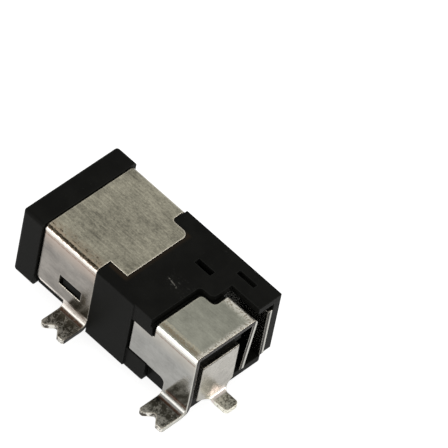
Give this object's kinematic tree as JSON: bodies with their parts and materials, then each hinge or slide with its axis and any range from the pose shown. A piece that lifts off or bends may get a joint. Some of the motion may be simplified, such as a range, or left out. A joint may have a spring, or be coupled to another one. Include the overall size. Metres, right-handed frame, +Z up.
{
  "type": "dc barrel jack",
  "caption": "Surface-mount power jack for a small barrel plug: black moulding with an offset bore, folded plated covers with forked solder lands, and locating pegs underneath.",
  "frame": {"origin": "on the board plane, midway between the two locating pegs", "axes": "+Z up from the board, -Y out of the mouth, +X towards the side with the window"},
  "size_m": [0.0104, 0.0144, 0.0061],
  "materials": {
    "housing": "moulded satin",
    "shell": "tin plated",
    "sleeve": "tin plated",
    "switch": "tin plated",
    "terminal": "tin plated",
    "pin": "nickel plated, turned"
  },
  "bodies": {
    "root": {"housing": "housing", "front_shell": "shell", "sleeve_contact": "sleeve", "switch_contact": "switch", "pin_terminal": "terminal", "centre_pin": "pin"}
  },
  "joints": []
}
